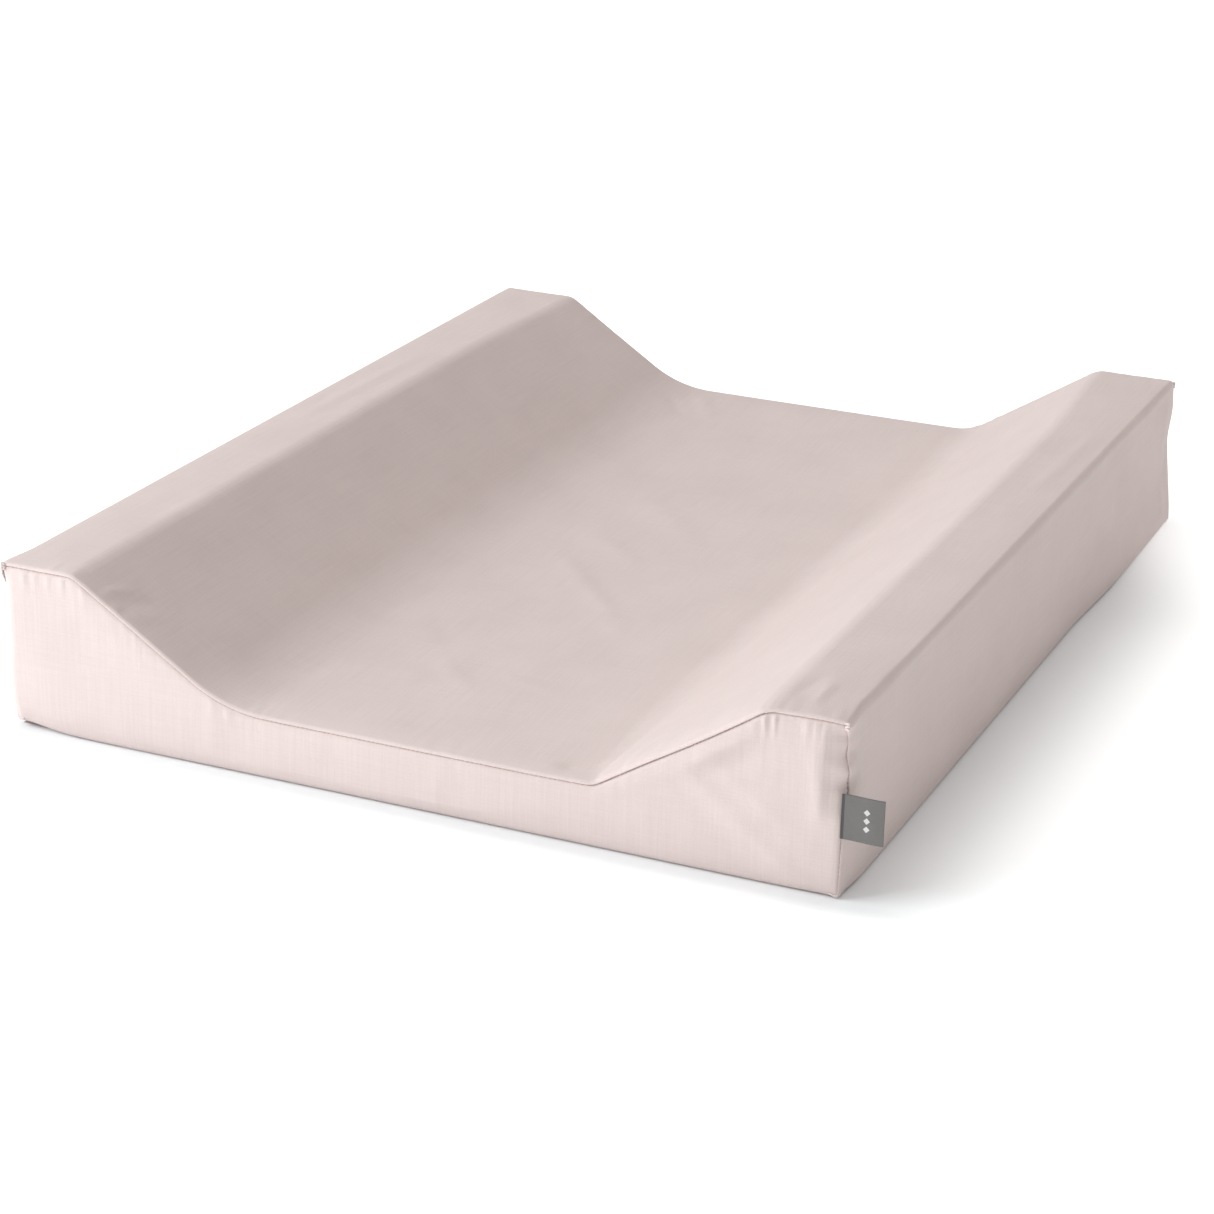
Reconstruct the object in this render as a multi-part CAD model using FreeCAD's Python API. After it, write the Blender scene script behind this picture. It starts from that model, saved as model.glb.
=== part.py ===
import FreeCAD, Part
import math
import os

# Baby changing pad: a contoured foam block with two raised sides, sealed in a waterproof liner
# and dressed in a removable cotton cover that opens with a coil zip across its back end.
# Frame: millimetres, +X across the pad, +Y along it towards the zip, +Z up.
# The origin is the centre of the underside, so the pad stands on Z = 0.

Vec = FreeCAD.Vector

# Driving dimensions of the dressed pad.
PAD_WIDTH = 500.0
PAD_LENGTH = 650.0
PAD_HEIGHT = 100.0
VALLEY_HEIGHT = 38.0
SIDE_TOP_WIDTH = 45.0
SLOPE_RUN = 95.0
TOP_EDGE_RADIUS = 5.0
SHOULDER_RADIUS = 14.0
VALLEY_RADIUS = 24.0

# Cloth layers, from the outside in.
COVER_THICK = 0.6
COVER_EASE = 0.5
LINER_THICK = 0.3
LINER_EASE = 0.2
ZIP_POCKET = 2.1

# Zip, across the back end panel. Size 5 nylon coil.
ZIP_HEIGHT = 17.0
ZIP_WINDOW_HALF = 6.0
LANE_HALF = 0.6
TAPE_WIDTH = 13.5
TAPE_THICK = 0.5
TAPE_GAP = 0.05
COIL_WIDTH = 2.4
COIL_THICK = 2.0
COIL_HALF_LENGTH = 232.0
COIL_ROUNDING = 0.7
STOP_LENGTH = 2.6
STOP_GAP = 0.1
STOP_PROUD = 0.2
STOP_OVERLAP = 0.4
STOP_ROUNDING = 0.5

# Slider and its pull.
SLIDER_X = 225.0
SLIDER_LENGTH = 13.0
SLIDER_WIDTH = 8.8
SLIDER_PLATE = 1.1
SLIDER_INNER_PLATE = 0.88
SLIDER_CLEAR = 0.25
SLIDER_TAIL_SHARE = 0.78
SLIDER_MOUTH_SHARE = 0.86
SLIDER_WAIST_SHARE = 0.45
SLIDER_INNER_SHRINK = 0.3
CHANNEL_WIDTH = 6.234
BRIDGE_WIDTH = 0.8
BRIDGE_LENGTH = 3.0
BRIDGE_SETBACK = 1.2
WELD = 0.1
CROWN_WIDTH = 1.8
CROWN_LENGTH = 6.8
CROWN_HEIGHT = 2.8
CROWN_WALL = 1.0
CROWN_ROUNDING = 1.4
PULL_BAR_RADIUS = 0.6
PULL_BAR_HEIGHT = 0.9
PULL_ARM_INNER = 1.2
PULL_ARM_OUTER = 2.4
PULL_PLATE_START = 4.4
PULL_LENGTH = 24.0
PULL_WIDTH = 6.4
PULL_TAPER = 3.0
PULL_HOLE_RADIUS = 1.3
PULL_HOLE_SETBACK = 3.6

# Labels and sewing thread.
LABEL_HEIGHT = 25.0
LABEL_BOTTOM = 35.0
LABEL_REACH = 22.0
LABEL_THICK = 0.8
LABEL_ROOT_RADIUS = 0.45
LABEL_ROOT_OUT = 0.55
CARE_LENGTH = 40.0
CARE_HEIGHT = 30.0
CARE_THICK = 0.3
CARE_LIFT = 0.4
CARE_SETBACK = 60.0
THREAD_RADIUS = 0.2
SEAM_INSET = 2.5
ZIP_SEAM_OFFSET = 8.5
ZIP_SEAM_SETBACK = 5.0
THREAD_STAND = 1.2 * THREAD_RADIUS

# Places worked out from the dimensions above.
HALF_WIDTH = PAD_WIDTH / 2
HALF_LENGTH = PAD_LENGTH / 2
LINER_DEPTH = COVER_THICK + COVER_EASE
FOAM_DEPTH = LINER_DEPTH + LINER_THICK + LINER_EASE
LINER_BACK = HALF_LENGTH - COVER_THICK - ZIP_POCKET
TAPE_FACE = HALF_LENGTH - COVER_THICK - TAPE_GAP
COIL_FACE = TAPE_FACE + COIL_THICK
PLATE_INNER = COIL_FACE + SLIDER_CLEAR
PLATE_OUTER = PLATE_INNER + SLIDER_PLATE
PULL_AXIS_Y = PLATE_OUTER + PULL_BAR_HEIGHT


def pad_corners():
    """The dressed pad's cross-section: (x, z, corner radius), anticlockwise from the left foot."""
    shoulder = HALF_WIDTH - SIDE_TOP_WIDTH
    foot = shoulder - SLOPE_RUN
    return [
        (-HALF_WIDTH, 0.0, 0.0),
        (HALF_WIDTH, 0.0, 0.0),
        (HALF_WIDTH, PAD_HEIGHT, TOP_EDGE_RADIUS),
        (shoulder, PAD_HEIGHT, SHOULDER_RADIUS),
        (foot, VALLEY_HEIGHT, VALLEY_RADIUS),
        (-foot, VALLEY_HEIGHT, VALLEY_RADIUS),
        (-shoulder, PAD_HEIGHT, SHOULDER_RADIUS),
        (-HALF_WIDTH, PAD_HEIGHT, TOP_EDGE_RADIUS),
    ]


def inset(corners, depth):
    """Moves every side of an anticlockwise outline inwards by depth, keeping its arcs concentric."""
    moved = []
    for i, (x, z, radius) in enumerate(corners):
        before, after = corners[i - 1], corners[(i + 1) % len(corners)]
        a = Vec(x - before[0], 0, z - before[1]).normalize()
        b = Vec(after[0] - x, 0, after[1] - z).normalize()
        turn = a.x * b.z - a.z * b.x
        miter = Vec(-a.z - b.z, 0, a.x + b.x)
        shift = depth * 2 / miter.Length
        miter.normalize()
        new_radius = max(radius - math.copysign(depth, turn), 0.0) if radius else 0.0
        moved.append((x + miter.x * shift, z + miter.z * shift, new_radius))
    return moved


def rounded_edges(corners, y, closed=True):
    """Lines and tangent arcs through the corners, in the plane at y."""
    points = [Vec(x, y, z) for x, z, _ in corners]
    count = len(points)
    joints = []
    for i, (point, corner) in enumerate(zip(points, corners)):
        radius = corner[2]
        is_end = not closed and i in (0, count - 1)
        if is_end or radius <= 0.0:
            joints.append((point, point, None))
            continue
        back = (points[i - 1] - point).normalize()
        ahead = (points[(i + 1) % count] - point).normalize()
        half = back.getAngle(ahead) / 2
        reach = radius / math.tan(half)
        middle = (back + ahead).normalize() * (radius / math.sin(half) - radius)
        joints.append((point + back * reach, point + ahead * reach, point + middle))
    edges = []
    for i, (start, end, through) in enumerate(joints):
        if through is not None:
            edges.append(Part.Arc(start, through, end).toShape())
        last = i == count - 1
        if last and not closed:
            break
        edges.append(Part.LineSegment(end, joints[(i + 1) % count][0]).toShape())
    return edges


def profile_block(depth, front, back, floor):
    """The cross-section inset by depth, as a solid from y front to y back, cut off below z floor."""
    wire = Part.Wire(rounded_edges(inset(pad_corners(), depth), front))
    block = Part.Face(wire).extrude(Vec(0, back - front, 0))
    return block.common(box((-PAD_WIDTH, PAD_WIDTH), (front, back), (floor, 2 * PAD_HEIGHT)))


def box(xs, ys, zs):
    """A box between the given limits."""
    return Part.makeBox(
        xs[1] - xs[0], ys[1] - ys[0], zs[1] - zs[0], Vec(xs[0], ys[0], zs[0])
    )


def along(shape, middle, reach):
    """The part of a shape that lies within reach of the height middle."""
    return shape.common(
        box(
            (-PAD_WIDTH, PAD_WIDTH),
            (-PAD_LENGTH, PAD_LENGTH),
            (middle - reach, middle + reach),
        )
    )


def foam():
    """The contoured foam block, one piece cut from a slab."""
    return profile_block(
        FOAM_DEPTH,
        -HALF_LENGTH + FOAM_DEPTH,
        LINER_BACK - LINER_THICK - LINER_EASE,
        FOAM_DEPTH,
    )


def envelope(depth, thick, front, back):
    """Four panels of a sewn cloth envelope: its wrap, bottom, front end and back end.

    The bottom panel is a full rectangle, and the other three stand on it."""
    top_of_bottom = depth + thick
    outer = profile_block(depth, front, back, top_of_bottom)
    inner = profile_block(depth + thick, front + thick, back - thick, top_of_bottom)
    front_end = profile_block(depth, front, front + thick, top_of_bottom)
    back_end = profile_block(depth, back - thick, back, top_of_bottom)
    wrap = outer.cut(inner).cut(front_end).cut(back_end)
    half = HALF_WIDTH - depth
    bottom = box((-half, half), (front, back), (depth, top_of_bottom))
    return wrap, bottom, front_end, back_end


def liner():
    """The sewn waterproof liner round the foam."""
    front = -HALF_LENGTH + LINER_DEPTH
    wrap, bottom, front_end, back_end = envelope(
        LINER_DEPTH, LINER_THICK, front, LINER_BACK
    )
    return {
        "liner_wrap": wrap,
        "liner_bottom": bottom,
        "liner_front_end": front_end,
        "liner_back_end": back_end,
    }


def cover():
    """The cotton cover. Its back end is cut in two for the zip."""
    wrap, bottom, front_end, back_end = envelope(
        0.0, COVER_THICK, -HALF_LENGTH, HALF_LENGTH
    )
    facing_reach = ZIP_HEIGHT - ZIP_WINDOW_HALF
    facing = along(back_end, 0.0, facing_reach)
    upper = back_end.cut(along(back_end, 0.0, ZIP_HEIGHT + ZIP_WINDOW_HALF))
    return {
        "cover_wrap": wrap,
        "cover_bottom": bottom,
        "cover_front_end": front_end,
        "cover_back_end": upper,
        "cover_zip_facing": facing,
    }


def mirrored(shape):
    """The same shape on the other side of the zip's centre line."""
    return shape.mirror(Vec(0, 0, ZIP_HEIGHT), Vec(0, 0, 1))


def zip_tape():
    """The upper woven tape, which is sewn behind the back end panel."""
    reach = HALF_WIDTH - COVER_THICK - COVER_EASE
    low = ZIP_HEIGHT + LANE_HALF
    return box(
        (-reach, reach), (TAPE_FACE - TAPE_THICK, TAPE_FACE), (low, low + TAPE_WIDTH)
    )


def zip_coil():
    """The upper half of the coil chain, as one bead with rounded outer edges."""
    low = ZIP_HEIGHT + LANE_HALF
    bead = box(
        (-COIL_HALF_LENGTH, COIL_HALF_LENGTH), (TAPE_FACE, COIL_FACE), (low, low + COIL_WIDTH)
    )
    outer_edges = [
        e
        for e in bead.Edges
        if e.BoundBox.XLength > COIL_HALF_LENGTH and e.BoundBox.YMin > TAPE_FACE + COIL_THICK / 2
    ]
    return bead.makeFillet(COIL_ROUNDING, outer_edges)


def zip_stops():
    """A stop on each tape at the closed end, and one across both tapes at the open end."""
    start = COIL_HALF_LENGTH + STOP_GAP
    low = ZIP_HEIGHT + LANE_HALF
    ys = (TAPE_FACE, COIL_FACE + STOP_PROUD)
    upper = box((start, start + STOP_LENGTH), ys, (low, low + COIL_WIDTH))
    upper = upper.makeFillet(STOP_ROUNDING, upper.Edges)
    reach = LANE_HALF + COIL_WIDTH + STOP_OVERLAP
    bottom = box((-start - STOP_LENGTH, -start), ys, (ZIP_HEIGHT - reach, ZIP_HEIGHT + reach))
    bottom = bottom.makeFillet(STOP_ROUNDING, bottom.Edges)
    return Part.makeCompound([upper, mirrored(upper)]), bottom


def slider_outline(half_width, half_length):
    """The slider plate's outline in the XZ plane: broad where the tapes part, narrower behind."""
    tail = half_width * SLIDER_TAIL_SHARE
    mouth = half_width * SLIDER_MOUTH_SHARE
    waist = half_length * SLIDER_WAIST_SHARE
    upper = [
        (half_length, mouth, 1.6),
        (waist, half_width, 2.0),
        (-half_length, tail, 1.2),
    ]
    lower = [(x, -z, radius) for x, z, radius in reversed(upper)]
    return lower + upper


def slider_plate(y, thick, shrink=0.0):
    """A plate of the slider's outline, from y outwards."""
    outline = slider_outline(SLIDER_WIDTH / 2 - shrink, SLIDER_LENGTH / 2 - shrink)
    placed = [(x + SLIDER_X, z + ZIP_HEIGHT, r) for x, z, r in outline]
    return Part.Face(Part.Wire(rounded_edges(placed, y))).extrude(Vec(0, thick, 0))


def zip_slider():
    """The slider: two plates joined by a bridge between the tapes, with a crown for the pull."""
    outer = slider_plate(PLATE_INNER, SLIDER_PLATE)
    flange_start = TAPE_FACE + SLIDER_CLEAR
    flange_ring = slider_plate(flange_start, PLATE_INNER - flange_start)
    channel = box(
        (SLIDER_X - SLIDER_LENGTH, SLIDER_X + SLIDER_LENGTH),
        (flange_start - WELD, PLATE_INNER),
        (ZIP_HEIGHT - CHANNEL_WIDTH / 2, ZIP_HEIGHT + CHANNEL_WIDTH / 2),
    )
    flanges = flange_ring.cut(channel)
    inner_face = TAPE_FACE - TAPE_THICK - SLIDER_CLEAR
    inner = slider_plate(inner_face - SLIDER_INNER_PLATE, SLIDER_INNER_PLATE, SLIDER_INNER_SHRINK)
    bridge_end = SLIDER_X + SLIDER_LENGTH / 2 - BRIDGE_SETBACK
    bridge = box(
        (bridge_end - BRIDGE_LENGTH, bridge_end),
        (inner_face - WELD, PLATE_INNER + WELD),
        (ZIP_HEIGHT - BRIDGE_WIDTH / 2, ZIP_HEIGHT + BRIDGE_WIDTH / 2),
    )
    return outer.fuse([flanges, inner, bridge, zip_crown()]).removeSplitter()


def zip_crown():
    """The arch on the slider that holds the pull's bar."""
    half = CROWN_LENGTH / 2
    arch = box(
        (SLIDER_X - half, SLIDER_X + half),
        (PLATE_OUTER - WELD, PLATE_OUTER + CROWN_HEIGHT),
        (ZIP_HEIGHT - CROWN_WIDTH / 2, ZIP_HEIGHT + CROWN_WIDTH / 2),
    )
    crest = [
        e
        for e in arch.Edges
        if e.BoundBox.ZLength > CROWN_WIDTH / 2 and e.BoundBox.YMin > PLATE_OUTER + CROWN_HEIGHT / 2
    ]
    arch = arch.makeFillet(CROWN_ROUNDING, crest)
    tunnel = box(
        (SLIDER_X - half + CROWN_WALL, SLIDER_X + half - CROWN_WALL),
        (PLATE_OUTER, PLATE_OUTER + CROWN_HEIGHT - CROWN_WALL),
        (ZIP_HEIGHT - CROWN_WIDTH, ZIP_HEIGHT + CROWN_WIDTH),
    )
    return arch.cut(tunnel)


def zip_pull():
    """The pull: a round bar in the crown's tunnel, two arms past the crown, and a finger tab."""
    bar = Part.makeCylinder(
        PULL_BAR_RADIUS,
        2 * PULL_ARM_OUTER,
        Vec(SLIDER_X, PULL_AXIS_Y, ZIP_HEIGHT - PULL_ARM_OUTER),
        Vec(0, 0, 1),
    )
    ys = (PULL_AXIS_Y - PULL_BAR_RADIUS, PULL_AXIS_Y + PULL_BAR_RADIUS)
    arms = [
        box(
            (SLIDER_X - PULL_PLATE_START - PULL_BAR_RADIUS, SLIDER_X),
            ys,
            sorted((ZIP_HEIGHT + side * PULL_ARM_INNER, ZIP_HEIGHT + side * PULL_ARM_OUTER)),
        )
        for side in (-1, 1)
    ]
    half = PULL_WIDTH / 2
    start = SLIDER_X - PULL_PLATE_START
    end = SLIDER_X - PULL_LENGTH
    upper = [
        (start, ZIP_HEIGHT + PULL_ARM_OUTER, 0.0),
        (start - PULL_TAPER, ZIP_HEIGHT + half, 1.5),
        (end, ZIP_HEIGHT + half, 2.6),
    ]
    lower = [(x, 2 * ZIP_HEIGHT - z, radius) for x, z, radius in reversed(upper)]
    outline = lower + upper
    tab = Part.Face(Part.Wire(rounded_edges(outline, ys[0]))).extrude(
        Vec(0, ys[1] - ys[0], 0)
    )
    hole = Part.makeCylinder(
        PULL_HOLE_RADIUS,
        4 * PULL_BAR_RADIUS,
        Vec(end + PULL_HOLE_SETBACK, ys[0] - PULL_BAR_RADIUS, ZIP_HEIGHT),
        Vec(0, 1, 0),
    )
    return bar.fuse([*arms, tab]).cut(hole).removeSplitter()


def side_label():
    """The folded ribbon label in the front right corner seam, with its rounded root on the seam."""
    x = HALF_WIDTH + LABEL_ROOT_OUT
    y = -HALF_LENGTH - LABEL_ROOT_OUT
    root = Part.makeCylinder(
        LABEL_ROOT_RADIUS, LABEL_HEIGHT, Vec(x, y, LABEL_BOTTOM), Vec(0, 0, 1)
    )
    half = LABEL_THICK / 2
    flap = box(
        (x, HALF_WIDTH + LABEL_REACH),
        (y - half, y + half),
        (LABEL_BOTTOM, LABEL_BOTTOM + LABEL_HEIGHT),
    )
    return root.fuse(flap).removeSplitter()


def care_label():
    """The washing label, inside the cover against its left side."""
    outer = -HALF_WIDTH + COVER_THICK + (COVER_EASE - CARE_THICK) / 2
    low = COVER_THICK + CARE_LIFT
    back = HALF_LENGTH - CARE_SETBACK
    return box(
        (outer, outer + CARE_THICK),
        (back - CARE_LENGTH, back),
        (low, low + CARE_HEIGHT),
    )


def seam_thread(y):
    """The thread of the seam that joins an end panel to the wrap, along the top of the end."""
    corners = inset(pad_corners(), SEAM_INSET)
    top = [c for c in corners if c[1] > PAD_HEIGHT / 4]
    path = Part.Wire(rounded_edges(top, y, closed=False))
    start = path.Edges[0].Vertexes[0].Point
    ring = Part.Wire(Part.Circle(start, Vec(1, 0, 0), THREAD_RADIUS).toShape())
    return path.makePipeShell([ring], True, True)


def zip_threads():
    """The two straight lines of stitching that hold the tapes."""
    reach = HALF_WIDTH - ZIP_SEAM_SETBACK
    return Part.makeCompound(
        [
            Part.makeCylinder(
                THREAD_RADIUS,
                2 * reach,
                Vec(-reach, HALF_LENGTH + THREAD_STAND, ZIP_HEIGHT + offset),
                Vec(1, 0, 0),
            )
            for offset in (-ZIP_SEAM_OFFSET, ZIP_SEAM_OFFSET)
        ]
    )


def build():
    """Every node of the pad by name."""
    tape, coil = zip_tape(), zip_coil()
    top_stops, bottom_stop = zip_stops()
    return {
        "foam_core": foam(),
        **liner(),
        **cover(),
        "zip_tape_upper": tape,
        "zip_tape_lower": mirrored(tape),
        "zip_coil_upper": coil,
        "zip_coil_lower": mirrored(coil),
        "zip_top_stops": top_stops,
        "zip_bottom_stop": bottom_stop,
        "zip_slider": zip_slider(),
        "zip_pull": zip_pull(),
        "side_label": side_label(),
        "care_label": care_label(),
        "front_seam_thread": seam_thread(-HALF_LENGTH - THREAD_STAND),
        "back_seam_thread": seam_thread(HALF_LENGTH + THREAD_STAND),
        "zip_seam_threads": zip_threads(),
    }


def main():
    """Writes each node to its own STEP file."""
    os.makedirs("parts", exist_ok=True)
    for name, shape in build().items():
        if not shape.isValid():
            raise ValueError(f"{name} is not a valid shape")
        shape.exportStep(f"parts/{name}.step")
        print(f"{name}: {len(shape.Solids)} solid(s), {shape.Volume / 1000:.3f} cm3")


main()
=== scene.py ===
"""A baby's changing pad: a contoured foam block in a coated liner and a pale pink cotton cover.

Everything is in metres in the CAD model's frame: +X across the pad, +Y towards the zip, +Z up.
"""

import math

import bmesh
import bpy
import numpy as np
from mathutils import Matrix, Vector


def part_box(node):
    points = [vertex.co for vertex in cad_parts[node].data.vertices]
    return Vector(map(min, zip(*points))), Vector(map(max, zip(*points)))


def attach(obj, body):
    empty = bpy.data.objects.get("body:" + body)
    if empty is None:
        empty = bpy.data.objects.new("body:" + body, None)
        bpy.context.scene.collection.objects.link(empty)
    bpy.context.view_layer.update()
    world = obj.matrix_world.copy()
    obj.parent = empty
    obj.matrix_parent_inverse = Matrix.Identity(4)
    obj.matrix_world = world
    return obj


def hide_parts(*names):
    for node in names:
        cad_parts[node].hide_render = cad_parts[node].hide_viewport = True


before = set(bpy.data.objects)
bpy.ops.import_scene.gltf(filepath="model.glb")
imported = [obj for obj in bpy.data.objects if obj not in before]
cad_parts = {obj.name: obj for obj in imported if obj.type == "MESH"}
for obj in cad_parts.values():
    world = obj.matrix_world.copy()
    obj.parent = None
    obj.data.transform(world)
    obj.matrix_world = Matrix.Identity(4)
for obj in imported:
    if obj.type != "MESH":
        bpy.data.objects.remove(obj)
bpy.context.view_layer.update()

MM = 0.001

# The pad's size comes from the frame, and its cross-section repeats the CAD model's dimensions.
HALF_WIDTH, HALF_LENGTH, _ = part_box("cover_bottom")[1]
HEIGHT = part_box("cover_wrap")[1].z
VALLEY_HEIGHT = 0.038
SIDE_TOP_WIDTH = 0.045
SLOPE_RUN = 0.095
SHOULDER = HALF_WIDTH - SIDE_TOP_WIDTH
FOOT = SHOULDER - SLOPE_RUN
ZIP_HEIGHT = (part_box("zip_coil_upper")[0].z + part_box("zip_coil_lower")[1].z) / 2
WINDOW_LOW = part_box("cover_zip_facing")[1].z
WINDOW_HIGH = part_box("cover_back_end")[0].z

# How the cloth lies over the foam.
EDGE_RADIUS = 0.0036
SHOULDER_RADIUS = 0.018
LEFT_VALLEY_RADIUS = 0.080
RIGHT_VALLEY_RADIUS = 0.040
SEAM_VALLEY_RADIUS = 0.010
FOOT_RADIUS = 0.0035
ROLL_RADIUS = 0.0018
SEAM_MOUTH = 0.0001
BACK_RISE = 0.0062
BACK_NARROWING = 0.0080

# The grid of the cloth. Each number is the count of steps along that stretch.
SIDE_STEPS = 12
EDGE_STEPS = 3
TOP_STEPS = 6
SHOULDER_STEPS = 4
SLOPE_STEPS = 12
VALLEY_ARC_STEPS = 6
VALLEY_STEPS = 22
FINE = 4
UNDER_STEPS = 4
BELOW_TOP = (UNDER_STEPS + SIDE_STEPS) * FINE

# A panel's turned edge as pairs of (inset from the outline, depth behind the face), from the face inwards.
SEAM_EDGE = MM * np.array([(7.0, 0.0), (4.6, 0.1), (3.0, 0.4), (2.1, 1.1), (2.0, 2.1)])
UNDER_EDGE = MM * np.array([(8.0, 0.0), (3.5, 0.2), (1.1, 1.1), (0.1, 3.5), (0.3, 9.0)])
FOLD_EDGE = MM * np.array([(3.0, 0.0), (1.2, 0.0), (0.2, 0.2), (0.4, 0.5), (6.0, 0.55)])

# How the whole cover gives: the lift of its foot corners by (x side, y side), and the waves in its back
# right corner as (height, half height, outwards), in millimetres.
FOOT_LIFTS = {(-1, -1): 3.4, (1, -1): 0.4, (-1, 1): 1.4, (1, 1): 0.4}
BACK_WAVES = [(82, 9, 0.8), (60, 9, -1.0), (36, 11, 0.4)]

# Sewing and the zip.
STITCH_PITCH = 0.0027
STITCH_LENGTH = 0.0017
THREAD_RADIUS = 0.00024
YARN_PITCH = 0.00042
ZIP_SEAM_OFFSET = (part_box("zip_seam_threads")[1].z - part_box("zip_seam_threads")[0].z) / 2 - 0.0002
COIL_PITCH = 0.00125
SOFT_EDGES = {"zip_slider": 0.22, "zip_pull": 0.2, "zip_top_stops": 0.1, "zip_bottom_stop": 0.1}  # mm

# The inner layers, as depths below the cover's surface.
LINER_DEPTH = 0.0022
FOAM_DEPTH = 0.0032
LINER_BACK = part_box("liner_back_end")[1].y
FOAM_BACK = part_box("foam_core")[1].y

# Soft folds as (across, along, heading in degrees, half length, half width, height), in millimetres.
# Across and along are x and y on the top, x and z on the front end and y and z on the right side.
TOP_FOLDS = [
    (-7, -66, -48, 62, 6.5, 0.74), (-17, 1, -40, 30, 7.5, 0.68), (-15, 74, -47, 48, 11, 0.68),
    (30, -118, -33, 18, 5, 0.47), (-18, -225, -44, 28, 7, 0.54), (28, -219, -17, 20, 5, 0.47),
    (-52, -170, -50, 22, 8, -0.47), (-60, -235, 5, 30, 7, 0.4), (98, -309, 20, 12, 6, -1.49),
    (118, -306, 78, 12, 3.5, 0.74), (131, -309, 84, 10, 2.8, 0.61), (146, -311, 80, 8, 2.5, 0.47),
    (163, -317, 40, 8, 3.5, 0.81), (-186, -308, 70, 12, 3, 0.81), (-177, -307, 64, 14, 3.2, -0.68),
    (-168, -310, 58, 10, 2.8, 0.54), (-78, 292, -60, 22, 6, 0.81), (-95, 280, -52, 18, 5, -0.61),
    (226, -298, 86, 14, 3.5, 0.68), (216, -290, 78, 16, 4, -0.54), (232, 120, 88, 60, 5, 0.47),
    (-228, 60, 88, 70, 5, 0.47),
]
FRONT_FOLDS = [
    (180, 72.5, 32, 19, 3.8, 1.5), (184, 62, 28, 20, 4.5, -0.7), (188, 37, -37, 46, 5, 0.55),
    (203, 47, -33, 38, 4.5, 0.45), (176, 30, -42, 30, 6, -0.4), (222, 12, -30, 20, 4, 0.4),
    (234, 64, 97, 20, 3.5, 0.8), (-118, 25, 84, 18, 5, 0.3), (20, 18, 80, 15, 6, 0.3),
]
SIDE_FOLDS = [
    (302, 74, 82, 16, 6, 1.1), (313, 48, 72, 16, 4.5, -0.9), (300, 22, 96, 14, 6, 0.9),
    (180, 82, 4, 60, 5, 0.4), (-120, 20, -6, 80, 6, 0.4), (-300, 70, 100, 16, 5, -0.5),
]

# Short puckers that the seam's thread draws up, as (x, height, half width) in millimetres, below and above
# the seam.
PUCKERS_BELOW = [
    (-237, 1.05, 1.4), (-230, 0.63, 1.2), (-221.5, 0.7, 1.4), (-212, 0.91, 1.4), (-199, 0.63, 1.8),
    (-118, 0.56, 2), (-108, 0.84, 1.8), (-99, 0.56, 1.8), (198.5, 0.7, 1.4), (204, 1.12, 1.2),
    (208.5, 1.12, 1.2), (213, 0.7, 1.2), (226, 1.12, 1.2), (231, 1.05, 1.2), (235.5, 0.84, 1.2),
]
PUCKERS_ABOVE = [
    (-220, 0.3, 1.5), (-188, 0.45, 1.8), (-179, 0.45, 1.8), (-170, 0.35, 1.8), (115, 0.45, 2.2),
    (129, 0.4, 2.2), (144, 0.35, 2), (205, 0.4, 1.4),
]


# ---- curves and grids


def cubic(places, values, wanted):
    """Values known at places, read at the wanted places along a smooth curve."""
    places = np.asarray(places, float)
    values = np.asarray(values, float)
    slopes = np.gradient(values, places, axis=0)
    at = np.clip(np.searchsorted(places, wanted, side="right") - 1, 0, len(places) - 2)
    gap = places[at + 1] - places[at]
    t = np.clip((wanted - places[at]) / gap, 0.0, 1.0)
    shape = (-1,) + (1,) * (values.ndim - 1)
    t, gap = t.reshape(shape), gap.reshape(shape)
    return (
        (2 * t**3 - 3 * t**2 + 1) * values[at]
        + (t**3 - 2 * t**2 + t) * gap * slopes[at]
        + (3 * t**2 - 2 * t**3) * values[at + 1]
        + (t**3 - t**2) * gap * slopes[at + 1]
    )


def smooth_step(low, high, value):
    """0 below low, 1 above high, and a smooth rise between."""
    t = np.clip((value - low) / (high - low), 0.0, 1.0)
    return t * t * (3 - 2 * t)


def hill(value, width):
    """1 where value is 0, and a smooth fall on both sides of it."""
    return np.exp(-((value / width) ** 2))


def unit(vectors):
    """Vectors scaled to a length of 1."""
    return vectors / np.linalg.norm(vectors, axis=-1, keepdims=True)


def run_lengths(path):
    """How far along a path each of its points is."""
    return np.concatenate([[0.0], np.cumsum(np.linalg.norm(np.diff(path, axis=0), axis=1))])


def placed(x, y, z):
    """Points from their coordinates, each a number, a row or a grid."""
    return np.stack(np.broadcast_arrays(x, y, z), -1)


def inset_corners(corners, depth):
    """The corners of an open outline, run clockwise as seen from the front, moved inwards."""
    moved = []
    runs = unit(np.diff([corner[:2] for corner in corners], axis=0))
    for i, (x, z, radius, steps) in enumerate(corners):
        into, out = runs[max(i - 1, 0)], runs[min(i, len(runs) - 1)]
        miter = np.array([into[1] + out[1], -into[0] - out[0]])
        miter *= 2 * depth / (miter @ miter)
        turn = into[0] * out[1] - into[1] * out[0]
        new_radius = max(radius + math.copysign(depth, turn), 0.2 * MM) if radius else 0.0
        moved.append((x + miter[0], z + miter[1], new_radius, steps))
    return moved


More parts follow.
